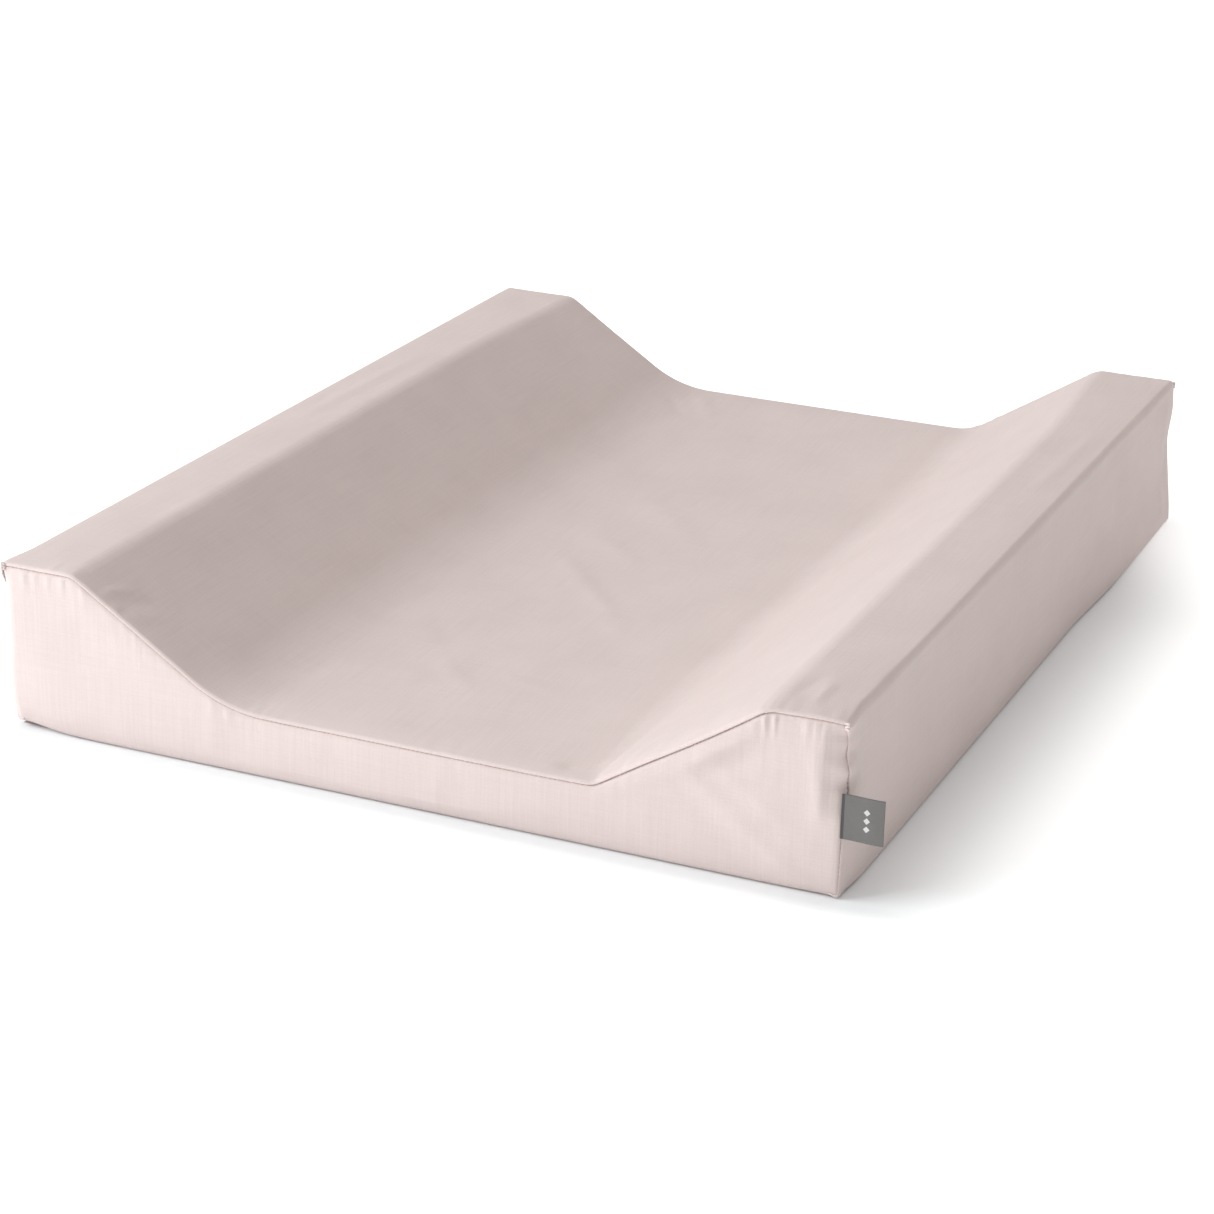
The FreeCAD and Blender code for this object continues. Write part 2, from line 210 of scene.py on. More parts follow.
def rounded(corners, run_steps, fine):
    """Points along an outline: straight runs, with an arc at each corner that has a radius."""
    ends = []
    for i, (x, z, radius, steps) in enumerate(corners):
        here = np.array([x, z])
        if not radius:
            ends.append((here, here, None, 0, 0))
            continue
        back = unit(np.array(corners[i - 1][:2]) - here)
        ahead = unit(np.array(corners[i + 1][:2]) - here)
        half = math.acos(max(-1.0, min(1.0, back @ ahead))) / 2
        reach = radius / math.tan(half)
        centre = here + unit(back + ahead) * radius / math.sin(half)
        ends.append((here + back * reach, here + ahead * reach, centre, radius, steps * fine))
    points = [ends[0][1]]
    for i in range(1, len(ends)):
        start, end, centre, radius, steps = ends[i]
        count = run_steps[i - 1] * fine
        previous = ends[i - 1][1]
        points += [previous + (start - previous) * k / count for k in range(1, count + 1)]
        if centre is None:
            continue
        a = math.atan2(*(start - centre)[::-1])
        b = math.atan2(*(end - centre)[::-1])
        sweep = (b - a + math.pi) % (2 * math.pi) - math.pi
        for k in range(1, steps + 1):
            angle = a + sweep * k / steps
            points.append(centre + radius * np.array([math.cos(angle), math.sin(angle)]))
    return np.array(points)


RUNS = [2, SIDE_STEPS, TOP_STEPS, SLOPE_STEPS, VALLEY_STEPS, SLOPE_STEPS, TOP_STEPS, SIDE_STEPS, 2]


def section(y, inset=0.0, fine=FINE, under=True):
    """The cover's cross-section at y, from under the left foot over the top to under the right foot.

    The right corner of the valley is crisp at the front seam and softens behind it. Towards the back
    seam the cloth bridges the valley, so its floor rises and its shoulders come in."""
    from_front = smooth_step(0.0, 0.14, y + HALF_LENGTH)
    to_back = smooth_step(-0.16, 0.0, y - HALF_LENGTH)
    right_radius = SEAM_VALLEY_RADIUS + (RIGHT_VALLEY_RADIUS - SEAM_VALLEY_RADIUS) * from_front
    floor = VALLEY_HEIGHT + BACK_RISE * to_back
    half = [
        (HALF_WIDTH - 0.012, 0.0, 0.0, 0),
        (HALF_WIDTH, 0.0, FOOT_RADIUS, 2),
        (HALF_WIDTH, HEIGHT, EDGE_RADIUS, EDGE_STEPS),
        (SHOULDER - BACK_NARROWING * to_back, HEIGHT, SHOULDER_RADIUS, SHOULDER_STEPS),
    ]
    left = [(-x, z, radius, steps) for x, z, radius, steps in half]
    valley = [
        (-FOOT, floor, LEFT_VALLEY_RADIUS, VALLEY_ARC_STEPS),
        (FOOT, floor, right_radius, VALLEY_ARC_STEPS),
    ]
    points = rounded(inset_corners(left + valley + half[::-1], inset), RUNS, fine)
    if not under:
        return points[UNDER_STEPS * fine : len(points) - UNDER_STEPS * fine]
    tuck_under(points, 2 * fine, 1)
    tuck_under(points[::-1], 2 * fine, -1)
    return points


def section_grid(ys, inset=0.0):
    """A coarse grid over the pad: one cross-section for each y, without what lies under its feet."""
    rows = np.array([section(y, inset, 1, False) for y in ys])
    return placed(rows[..., 0], ys[:, None], rows[..., 1])


def tuck_under(points, count, inward):
    """Lifts an outline's first points, which lie under the pad, to the bottom panel's seam."""
    share = np.linspace(1.0, 0.0, count + 1)
    points[: count + 1, 0] = points[count, 0] + inward * 0.004 * share
    points[: count + 1, 1] = points[count, 1] + 0.0014 * share**2


def stations():
    """The cover's cross-sections along Y, closer together towards the ends."""
    half = HALF_LENGTH - ROLL_RADIUS
    count = 84
    t = np.linspace(-1.0, 1.0, 2 * count + 1)
    crowd = 0.62
    return half * (t * crowd + (1 - crowd) * np.sin(t * math.pi / 2))


def grid_faces(rows, columns, flip=False):
    """Quads over a grid of points numbered row by row."""
    at = np.arange(rows * columns).reshape(rows, columns)
    quads = np.stack([at[:-1, :-1], at[:-1, 1:], at[1:, 1:], at[1:, :-1]], -1).reshape(-1, 4)
    return quads[:, ::-1] if flip else quads


def make_mesh(name, points, faces, uvs=None):
    """A smooth mesh object from points, faces and, if given, one UV pair for each point."""
    mesh = bpy.data.meshes.new(name)
    mesh.from_pydata([tuple(p) for p in points], [], [tuple(int(i) for i in f) for f in faces])
    if uvs is not None:
        layer = mesh.uv_layers.new(name="cloth")
        loops = np.zeros(len(mesh.loops), np.int32)
        mesh.loops.foreach_get("vertex_index", loops)
        layer.data.foreach_set("uv", np.asarray(uvs, np.float32)[loops].ravel())
    mesh.shade_smooth()
    thing = bpy.data.objects.new(name, mesh)
    bpy.context.scene.collection.objects.link(thing)
    return thing


def make_cloth(name, points, uvs, flip=False):
    """A smooth sheet through a grid of points, with a UV pair for each."""
    faces = grid_faces(*points.shape[:2], flip)
    return make_mesh(name, points.reshape(-1, 3), faces, uvs.reshape(-1, 2))


def adjust(thing, **settings):
    """Sets several of a Blender thing's values."""
    for key, value in settings.items():
        setattr(thing, key, value)


# ---- the cloth's own fall


SIM_STATIONS = 97
SIM_FRAMES = 26
SIM_CAP = 0.0035


def coarse_cover():
    """The points of the simulated cover: its wrap as rows along Y, and its two end panels."""
    ys = np.linspace(-HALF_LENGTH, HALF_LENGTH, SIM_STATIONS)
    wrap = section_grid(ys)
    ends = []
    for edge in (wrap[0], wrap[-1]):
        columns = edge[SIDE_STEPS : len(edge) - SIDE_STEPS]
        share = np.linspace(0.0, 1.0, SIDE_STEPS + 1)[:, None, None]
        low = columns * np.array([1, 1, 0]) + np.array([0, 0, edge[0][2]])
        ends.append(low + (columns - low) * share)
    return ys, wrap, ends


def simulate_cover():
    """How far cloth simulation moves the cover off its plain shape, as grids for the wrap and both ends.

    The cover is a little larger than the foam and its seams are drawn up, so it puckers and sags."""
    ys, wrap, ends = coarse_cover()
    rows, columns = wrap.shape[:2]
    points = wrap.reshape(-1, 3)
    faces = [list(f) for f in grid_faces(rows, columns)]
    side = SIDE_STEPS + 1
    firsts = (0, (rows - 1) * columns)
    seam = {first + k for first in firsts for k in range(columns)}
    pinned = set(range(0, rows * columns, columns)) | set(range(columns - 1, rows * columns, columns))
    end_indices = []
    for end, first in zip(ends, firsts):
        heights, across = end.shape[:2]
        index = np.zeros((heights, across), int)
        index[:, 0] = first + np.arange(side)
        index[:, -1] = first + columns - 1 - np.arange(side)
        index[-1] = first + side - 1 + np.arange(across)
        inner = index[:-1, 1:-1]
        inner[...] = len(points) + np.arange(inner.size).reshape(inner.shape)
        points = np.concatenate([points, end[:-1, 1:-1].reshape(-1, 3)])
        pinned |= set(index[0])
        quads = index.ravel()[grid_faces(heights, across)]
        faces += [list(q) if first == 0 else list(q[::-1]) for q in quads]
        end_indices.append(index)
    cover = make_mesh("simulated_cover", points, faces)
    run_cloth(cover, sorted(pinned), sorted(seam))
    shift = np.array([v.co for v in cover.data.vertices]) - points
    bpy.data.objects.remove(cover)
    length = np.linalg.norm(shift, axis=1, keepdims=True)
    shift *= np.minimum(1.0, SIM_CAP / np.maximum(length, 1e-9))
    by_zip = 1 - smooth_step(0.008, 0.030, np.abs(points[:, 2] - ZIP_HEIGHT))
    by_back = smooth_step(-0.030, 0.0, points[:, 1] - HALF_LENGTH)
    shift *= (1 - by_zip * by_back)[:, None]
    wrap_shifts = shift[: rows * columns].reshape(rows, columns, 3)
    calm(wrap_shifts, 10)
    end_shifts = [shift[index] for index in end_indices]
    for grid, border in zip(end_shifts, (wrap_shifts[0], wrap_shifts[-1])):
        for _ in range(2):
            border[1:-1] = (border[:-2] + 2 * border[1:-1] + border[2:]) / 4
        grid[:, 0] = border[:side]
        grid[:, -1] = border[::-1][:side]
        grid[-1] = border[side - 1 : columns - side + 1]
        calm(grid, 5)
    return {"ys": ys, "wrap": wrap_shifts, "ends": end_shifts}


def calm(grid, passes):
    """Evens out a grid of shifts inside its border."""
    for _ in range(passes):
        around = grid[:-2, 1:-1] + grid[2:, 1:-1] + grid[1:-1, :-2] + grid[1:-1, 2:]
        grid[1:-1, 1:-1] = (4 * grid[1:-1, 1:-1] + around) / 8


def run_cloth(cover, pinned, seam):
    """Lets the cover settle on the foam, and applies the result to its mesh."""
    scene = bpy.context.scene
    foam = make_foam_collider()
    for name, members in (("pins", pinned), ("drawn", seam)):
        cover.vertex_groups.new(name=name).add([int(i) for i in members], 1.0, "ADD")
    modifier = cover.modifiers.new("fall", "CLOTH")
    adjust(modifier.settings, quality=6, mass=0.12, air_damping=3.0, bending_stiffness=0.8)
    adjust(modifier.settings, tension_stiffness=18.0, compression_stiffness=18.0, shear_stiffness=6.0)
    adjust(modifier.settings, tension_damping=12.0, compression_damping=12.0)
    adjust(modifier.settings, vertex_group_mass="pins", pin_stiffness=1.0)
    adjust(modifier.settings, shrink_min=-0.0012, shrink_max=0.003, vertex_group_shrink="drawn")
    adjust(modifier.settings, use_pressure=True, uniform_pressure_force=0.25)
    adjust(modifier.collision_settings, distance_min=0.0008, collision_quality=3, use_self_collision=False)
    adjust(modifier.point_cache, frame_start=1, frame_end=SIM_FRAMES)
    for number in range(1, SIM_FRAMES + 1):
        scene.frame_set(number)
    graph = bpy.context.evaluated_depsgraph_get()
    settled = bpy.data.meshes.new_from_object(cover.evaluated_get(graph))
    cover.modifiers.clear()
    cover.data = settled
    scene.frame_set(1)
    bpy.data.objects.remove(foam)


def make_foam_collider():
    """The foam's upper surface and ends, for the cover to lie on."""
    depth = 0.0016
    half = HALF_LENGTH - depth
    ys = np.concatenate([np.linspace(-half, -half + 0.14, 8), np.linspace(-half + 0.20, half, 4)])
    rows = section_grid(ys, depth)
    columns = rows.shape[1]
    points = [point for row in rows for point in row]
    faces = [list(f) for f in grid_faces(len(ys), columns)]
    for row, flip in ((rows[0], False), (rows[-1], True)):
        faces += [list(f + len(points)) for f in grid_faces(2, columns, flip)]
        points += [(x, y, z * level) for level in (0.0, 1.0) for x, y, z in row]
    foam = make_mesh("foam_collider", points, faces)
    foam.modifiers.new("solid", "COLLISION")
    adjust(foam.collision, thickness_outer=0.001, cloth_friction=8.0)
    return foam


def wrap_shift(fall, ys, columns):
    """The simulated shift of the wrap, read on a finer grid of stations and columns."""
    along = cubic(fall["ys"], fall["wrap"], ys)
    coarse = np.arange(along.shape[1], dtype=float)
    fine = np.linspace(0.0, coarse[-1], columns)
    return cubic(coarse, along.swapaxes(0, 1), fine).swapaxes(0, 1)


def end_shift(grid, side, xs, z, top_z):
    """The simulated shift of one end panel at columns xs and heights z, under a top line at top_z."""
    line = section(side * HALF_LENGTH, SEAM_EDGE[-1][0], 1, False)[SIDE_STEPS:-SIDE_STEPS]
    rows, count = grid.shape[:2]
    across = np.interp(xs, line[:, 0], np.arange(count))
    columns = cubic(np.arange(count), grid.swapaxes(0, 1), across)
    up = np.clip((z - FOOT_RADIUS) / (top_z - FOOT_RADIUS), 0.0, 1.0) * (rows - 1)
    shifts = [cubic(np.arange(rows), column, up[:, c]) for c, column in enumerate(columns)]
    return np.array(shifts).swapaxes(0, 1)


# ---- folds, puckers and corners


def folds(listed, across, along):
    """The height of the listed folds at each place on a face."""
    height = np.zeros(np.shape(across))
    for centre_a, centre_b, heading, half_length, half_width, top in listed:
        turn = math.radians(heading)
        a, b = across - MM * centre_a, along - MM * centre_b
        lengthways = (a * math.cos(turn) + b * math.sin(turn)) / (MM * half_length)
        sideways = (b * math.cos(turn) - a * math.sin(turn)) / (MM * half_width)
        height += MM * top * np.exp(-(lengthways**4) - sideways**2)
    return height


def puckers(listed, x, from_seam, reach, phase):
    """The height of the puckers beside an end's seam: the listed ones, and a small ripple all along it."""
    height = 0.00009 * np.sin(x * 640 + 2.0 * np.sin(x * 150 + phase)) * (1 + np.sin(x * 61 + phase))
    for centre, top, half_width in listed:
        height = height + MM * top * hill(x - MM * centre, MM * half_width)
    return height * smooth_step(0.0, 0.003, from_seam) * hill(from_seam, reach)


def settle(points):
    """Moves points of the cover, in place, where the whole cover gives.

    Its foot corners lift, its right foot spreads, its vertical seams sit on the corners (the front left
    one just round it), and the right corners crease."""
    x, y, z = (points[..., i].copy() for i in range(3))
    inset, from_end = HALF_WIDTH - np.abs(x), HALF_LENGTH - np.abs(y)
    low = 1 - smooth_step(0.0, 0.030, z)
    for (side_x, side_y), lift in FOOT_LIFTS.items():
        away = np.hypot(x - side_x * HALF_WIDTH, y - side_y * HALF_LENGTH)
        rise = MM * lift * hill(away, 0.026) * low
        points[..., 2] += rise
        points[..., 0] -= side_x * 0.7 * rise
        points[..., 1] -= side_y * 0.4 * rise
    # The right foot spreads, more towards the back.
    spread = 0.0017 * smooth_step(0.0, 0.030, y + HALF_LENGTH) + 0.0032 * smooth_step(0.09, 0.19, y)
    points[..., 0] += spread * smooth_step(0.20, 0.25, x) * (1 - smooth_step(0.0, 0.050, z))
    # The left side is a little hollow at the front.
    hollow = hill(z - 0.052, 0.030) * hill(x + HALF_WIDTH, 0.010) * hill(y + HALF_LENGTH, 0.060)
    points[..., 0] += 0.0008 * hollow
    # The vertical seams sit on the corners, and the front left corner is rounded.
    by_side = 1 - smooth_step(0.003, 0.010, inset)
    by_end = 1 - smooth_step(0.004, 0.010, from_end)
    below_top = 1 - smooth_step(HEIGHT - 0.016, HEIGHT - 0.006, z)
    points[..., 0] += np.sign(x) * 0.5 * inset * by_side * by_end * below_top
    front_left = (x < 0) & (y < 0)
    back_off = (1 - smooth_step(0.0, 0.0070, inset)) * (1 - smooth_step(0.0, 0.016, from_end))
    stand_out = (1 - smooth_step(0.0, 0.014, inset)) * (1 - smooth_step(0.0, 0.030, from_end))
    points[..., 1] += 0.0045 * front_left * back_off * below_top
    points[..., 0] -= 0.0030 * front_left * stand_out
    # The front right corner creases beside its seam, and the back right one is wavy.
    crease = smooth_step(0.0375, 0.062, z) * (1 - smooth_step(0.088, 0.0985, z))
    crease = crease * smooth_step(0.2375, 0.2475, x) * hill(y + HALF_LENGTH, 0.014)
    uneven = np.sin(z * 420) + 0.7 * np.sin(z * 233 + 1.0)
    points[..., 1] += 0.0044 * crease * (1 + 0.16 * uneven)
    points[..., 0] -= 0.0006 * crease * uneven
    back_right = hill(y - HALF_LENGTH, 0.020) * hill(x - HALF_WIDTH, 0.020)
    for height, reach, out in BACK_WAVES:
        points[..., 0] += MM * out * back_right * hill(z - MM * height, MM * reach)


def section_normals(sections):
    """Outward directions of cross-sections that run over the top from left to right."""
    tangents = unit(np.gradient(sections, axis=1))
    return np.stack([-tangents[..., 1], tangents[..., 0]], -1)


def wrap_relief(x, y, z, facing_up):
    """How far the wrap's folds and puckers stand proud of its plain shape."""
    from_end = HALF_LENGTH - np.abs(y)
    away = smooth_step(0.003, 0.010, from_end)
    on_top = smooth_step(0.3, 0.7, facing_up) * folds(TOP_FOLDS, x, y)
    on_side = smooth_step(0.5, 0.9, 1 - np.abs(facing_up)) * (x > 0) * folds(SIDE_FOLDS, y, z)
    drawn = puckers(PUCKERS_ABOVE, x, from_end, 0.011, 0.4) * smooth_step(0.3, 0.6, facing_up)
    return (on_top + on_side) * away + drawn


# ---- the cover's panels


def seam_path(side):
    """The wrap's rows at one end as (y, inset): from its hidden edge, round the roll, to its full size."""
    inset, depth = SEAM_EDGE[-1]
    rows = [(side * (HALF_LENGTH - depth / share), inset - SEAM_MOUTH) for share in (1, 2, 8)]
    for degrees in (84, 70, 52, 34, 17):
        angle = math.radians(degrees)
        out = ROLL_RADIUS * (1 - math.sin(angle))
        rows.append((side * (HALF_LENGTH - out), ROLL_RADIUS * (1 - math.cos(angle))))
    return rows


def build_wrap(fall):
    """The cover's top and long sides, in one piece, with its ends rolled over to the seams."""
    path = seam_path(-1) + [(y, 0.0) for y in stations()] + seam_path(1)[::-1]
    ys = np.array([y for y, _ in path])
    sections = np.array([section(y, inset) for y, inset in path])
    points = placed(sections[..., 0], ys[:, None], sections[..., 1])
    under, columns = UNDER_STEPS * FINE, sections.shape[1]
    normals = section_normals(sections)
    relief = wrap_relief(points[..., 0], points[..., 1], points[..., 2], normals[..., 1])
    relief[:, :under] = 0
    relief[:, -under:] = 0
    points[..., 0] += relief * normals[..., 0]
    points[..., 2] += relief * normals[..., 1]
    points[:, under : columns - under] += wrap_shift(fall, ys, columns - 2 * under)
    settle(points)
    across = run_lengths(sections[len(path) // 2])
    return make_cloth("cover_wrap_cloth", points, np.stack(np.meshgrid(across, ys), -1))


def top_line(side, inset, x):
    """The height of the pad's section, moved in by inset, above each x at one end."""
    line = section(side * HALF_LENGTH, inset)[BELOW_TOP:-BELOW_TOP]
    return np.interp(x, line[:, 0], line[:, 1])


def end_relief(side, x, z, from_seam):
    """How far an end panel's folds and puckers stand proud of its plain shape."""
    inside = np.minimum(from_seam, HALF_WIDTH - SEAM_EDGE[-1, 0] - np.abs(x))
    away = smooth_step(0.001, 0.007, inside) * smooth_step(0.0, 0.008, z)
    if side > 0:
        return away * puckers(PUCKERS_BELOW, -x, from_seam, 0.009, 2.0)
    return away * folds(FRONT_FOLDS, x, z) + puckers(PUCKERS_BELOW, x, from_seam, 0.009, 0.0)


def build_end(name, side, low, high, edges, rows, grid):
    """A panel across one end, turned in all round. edges are the shapes of its bottom and top edges.

    high is None where the panel reaches up to the pad's section."""
    low_edge, high_edge = edges
    reach = HALF_WIDTH - SEAM_EDGE[0, 0]
    outer, turned = HALF_WIDTH - SEAM_EDGE[:0:-1, 0], SEAM_EDGE[:0:-1, 1]
    main = section(side * HALF_LENGTH)[BELOW_TOP:-BELOW_TOP, 0]
    main = main[np.abs(main) < reach - MM]
    xs = np.concatenate([-outer, [-reach], main, [reach], outer[::-1]])

    def upper(inset):
        """The panel's top line, moved down by inset."""
        return top_line(side, inset, xs) if high is None else np.full(len(xs), high - inset)

    bottom, top = low + low_edge[0, 0], upper(high_edge[0, 0])
    levels = [np.full(len(xs), low + inset) for inset in low_edge[:0:-1, 0]]
    levels += [bottom + (top - bottom) * k / rows for k in range(rows + 1)]
    levels += [upper(inset) for inset in high_edge[1:, 0]]
    z = np.array(levels)
    x = np.broadcast_to(xs, z.shape)
    depth_z = np.concatenate([low_edge[:0:-1, 1], np.zeros(rows + 1), high_edge[1:, 1]])
    depth_x = np.concatenate([turned, np.zeros(len(main) + 2), turned[::-1]])
    points = placed(x, side * (HALF_LENGTH - np.maximum(depth_z[:, None], depth_x)), z)
    seam = top_line(side, SEAM_EDGE[-1, 0], xs)
    points += end_shift(grid, side, xs, z, seam)
    points[..., 1] += side * end_relief(side, x, z, seam - z)
    settle(points)
    return make_cloth(name, points, points[..., [0, 2]], side > 0)


def build_bottom():
    """The cover's bottom panel, a little wavy and drawn up at its edge."""
    reach_x, reach_y = HALF_WIDTH - 0.0045, HALF_LENGTH - 0.0045
    x, y = np.meshgrid(np.linspace(-reach_x, reach_x, 90), np.linspace(-reach_y, reach_y, 116))
    from_edge = np.minimum(reach_x - np.abs(x), reach_y - np.abs(y))
    lift = 0.0016 * (1 - smooth_step(0.0, 0.006, from_edge))
    wave = 0.0005 * (1 + np.sin(61 * x + 2.1 * np.sin(17 * y)) * np.sin(47 * y + 1.7 * np.sin(23 * x)))
    points = placed(x, y, lift + wave * smooth_step(0.0, 0.02, from_edge))
    return make_cloth("cover_bottom_cloth", points, points[..., :2], True)


def build_cover(fall):
    """All the cover's panels."""
    front, back = fall["ends"]
    seams = (UNDER_EDGE, SEAM_EDGE)
    wrap = build_wrap(fall)
    bottom = build_bottom()
    front_end = build_end("cover_front_cloth", -1, 0.0, None, seams, 36, front)
    back_end = build_end("cover_back_cloth", 1, WINDOW_HIGH, None, (FOLD_EDGE, SEAM_EDGE), 30, back)
    facing = build_end("cover_facing_cloth", 1, 0.0, WINDOW_LOW, (UNDER_EDGE, FOLD_EDGE), 4, back)
    for piece, node, material in (
        (wrap, "cover_wrap", "cover_cotton"),
        (bottom, "cover_bottom", "cover_cotton"),
        (front_end, "cover_front_end", "end_cotton_painted_shade"),
        (back_end, "cover_back_end", "end_cotton_painted_shade"),
        (facing, "cover_zip_facing", "end_cotton_painted_shade"),
    ):
        finish_piece(piece, "pad", "cover_cotton", node, material=material)


# ---- inside the cover


def film_end(name, y):
    """A flat end panel of the liner."""
    line = section(y, LINER_DEPTH, 1, False)[SIDE_STEPS:-SIDE_STEPS]
    share = np.linspace(0.0, 1.0, 12)[:, None]
    points = placed(line[:, 0], y, LINER_DEPTH + (line[:, 1] - LINER_DEPTH) * share)
    settle(points)
    return make_cloth(name, points, points[..., [0, 2]], y > 0)


def build_liner():
    """The waterproof liner's four panels."""
    front = -HALF_LENGTH + LINER_DEPTH
    ys = np.linspace(front, LINER_BACK, 60)
    points = section_grid(ys, LINER_DEPTH)
    across = run_lengths(points[len(ys) // 2])
    settle(points)
    wrap = make_cloth("liner_wrap_film", points, np.stack(np.meshgrid(across, ys), -1))
    reach = HALF_WIDTH - LINER_DEPTH
    ys = np.linspace(front, LINER_BACK, 50)
    points = placed(np.linspace(-reach, reach, 40), ys[:, None], LINER_DEPTH)
    settle(points)
    base = make_cloth("liner_bottom_film", points, points[..., :2], True)
    front_end = film_end("liner_front_film", front)
    back_end = film_end("liner_back_film", LINER_BACK)
    for film, panel in ((wrap, "wrap"), (base, "bottom"), (front_end, "front_end"), (back_end, "back_end")):
        finish_piece(film, "pad", "liner_film", "liner_" + panel)


def build_foam():
    """The foam block: the pad's section run from end to end and closed with caps."""
    points = section_grid(np.linspace(-HALF_LENGTH + FOAM_DEPTH, FOAM_BACK, 50), FOAM_DEPTH)
    points[:, [0, -1], 2] = FOAM_DEPTH
    settle(points)
    rows, count = points.shape[:2]
    last = (rows - 1) * count
    feet = [range(r * count, (r + 2) * count, count) for r in range(rows - 1)]
    faces = [list(f) for f in grid_faces(rows, count)]
    faces += [[a, b, b + count - 1, a + count - 1] for a, b in feet]
    faces += [list(range(count))[::-1], list(range(last, last + count))]
    block = make_mesh("foam_block", points.reshape(-1, 3), faces)
    mesh = bmesh.new()
    mesh.from_mesh(block.data)
    bmesh.ops.recalc_face_normals(mesh, faces=mesh.faces)
    bmesh.ops.triangulate(mesh, faces=[f for f in mesh.faces if len(f.verts) > 4])
    mesh.to_mesh(block.data)
    mesh.free()
    finish_piece(block, "pad", "foam", "foam_core")


# ---- sewing


def rods(centres, directions, lengths, radius, sides=6):
    """Points and faces of many small rods with rounded ends."""
    centres, directions = np.asarray(centres, float), unit(np.asarray(directions, float))
    helper = np.where(np.abs(directions[:, 2:3]) < 0.9, [[0.0, 0.0, 1.0]], [[1.0, 0.0, 0.0]])
    first = unit(np.cross(directions, helper))
    second = np.cross(directions, first)
    rings = np.array([(-0.5, 0.35), (-0.42, 0.8), (-0.2, 1.0), (0.2, 1.0), (0.42, 0.8), (0.5, 0.35)])
    along, wide = rings[:, 0, None, None] * lengths, rings[:, 1, None, None] * radius
    turn = np.arange(sides)[:, None] * 2 * math.pi / sides
    middle, axis, first, second = (v[:, None, None, :] for v in (centres, directions, first, second))
    points = middle + axis * along + wide * (first * np.cos(turn) + second * np.sin(turn))
    faces = []
    for at in np.arange(len(centres) * len(rings) * sides).reshape(len(centres), len(rings), sides):
        beside = np.roll(at, -1, axis=1)
        quads = np.stack([at[:-1], at[1:], beside[1:], beside[:-1]], -1).reshape(-1, 4)
        faces += [list(q) for q in quads] + [list(at[0]), list(at[-1])[::-1]]
    return points.reshape(-1, 3), faces


def spaced(path, pitch):
    """Points at an even pitch along a path, and the path's direction at each."""
    reach = run_lengths(path)
    wanted = np.arange(pitch / 2, reach[-1], pitch)
    behind, at, ahead = (
        np.stack([np.interp(wanted + step, reach, path[:, i]) for i in range(3)], -1)
        for step in (-0.0005, 0.0, 0.0005)
    )
    return at, ahead - behind


def seam_line(side, grid, inset, depth):
    """An end's seam as a path in the finished cover, from its left foot over the top to its right foot."""
    line = section(side * HALF_LENGTH, inset, 2, False)
    x, z = line[line[:, 1] > 0.010].T
    top = top_line(side, SEAM_EDGE[-1, 0], x)
    shift = end_shift(grid, side, x, z[None], np.maximum(top, z))[0]
    path = placed(x, side * (HALF_LENGTH - depth), z) + shift
    settle(path)
    return path


def build_stitching(name, node, side, grid):
    """An end seam's stitches, drawn down between the end panel and the wrap."""
    centres, along = spaced(seam_line(side, grid, 0.0022, 0.0007), STITCH_PITCH)
    along = unit(along)
    dip = 0.22 * np.sin(np.arange(len(centres)) * 1.9)[:, None]
    across = placed(-along[:, 2], 0.0, along[:, 0])
    points, faces = rods(centres, along + (0.20 + 0.3 * dip) * across, STITCH_LENGTH, THREAD_RADIUS)
    finish_piece(make_mesh(name, points, faces), "pad", "thread", node)


def build_tufts(grids):
    """The seam allowance's knotted ends, which stand a little out of the cover's four top corners."""
    rng = np.random.default_rng(6)
    centres, heads = [], []
    for side, grid in zip((-1, 1), grids):
        path = seam_line(side, grid, 0.0012, 0.0004)
        for corner in (-1, 1):
            reach = np.abs(path[:, 0] - corner * HALF_WIDTH) + np.abs(path[:, 2] - HEIGHT + 0.0022)
            here = path[reach.argmin()]
            for k in range(3):
                centres.append(here + (0.0004 * corner, 0.0005 * side, 0.0004 - 0.0015 * k))
                heads.append((corner * (1.0 + 0.5 * rng.random()), side * 0.5, 0.7 - 0.9 * rng.random()))
    points, faces = rods(centres, heads, 0.0034, 0.00078, 8)
    tufts = make_mesh("seam_tufts", points, faces, [(a + c, b) for a, b, c in points])
    finish_piece(tufts, "pad", "thread", material="end_cotton_painted_shade")


def build_zip_stitching():
    """Two straight rows of stitches through the back end, which hold the zip's tapes."""
    reach = HALF_WIDTH - 0.0045
    x = np.arange(-reach, reach, STITCH_PITCH)
    centres, along = [], []
    for row in (-1, 1):
        z = ZIP_HEIGHT + row * ZIP_SEAM_OFFSET + 0.00012 * np.sin(x * 37 + row)
        centres.append(placed(x, HALF_LENGTH + 0.00008, z))
        along.append(placed(1.0, 0.0, 0.06 * np.sin(x * 900)))
    points, faces = rods(np.concatenate(centres), np.concatenate(along), 0.8 * STITCH_PITCH, THREAD_RADIUS)
    finish_piece(make_mesh("zip_stitching", points, faces), "pad", "thread", "zip_seam_threads")


def finish_piece(piece, body, finish, *nodes, material=None):
    """Puts a piece on its body in place of its CAD nodes, with its finish."""
    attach(piece, body)
    if nodes:
        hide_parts(*nodes)
    piece.data.materials.append(FINISHES[material or finish])


# ---- labels


def folded_ribbon(name, low, high, path):
    """A ribbon that stands on edge from z low to high along a path of (x, y), with a UV in metres."""
    path = np.array(path)
    along, levels = run_lengths(path), np.linspace(low, high, 14)
    points = placed(path[:, 0], path[:, 1], levels[:, None])
    return make_cloth(name, points, np.stack(np.meshgrid(along, levels - low), -1)), along[-1]


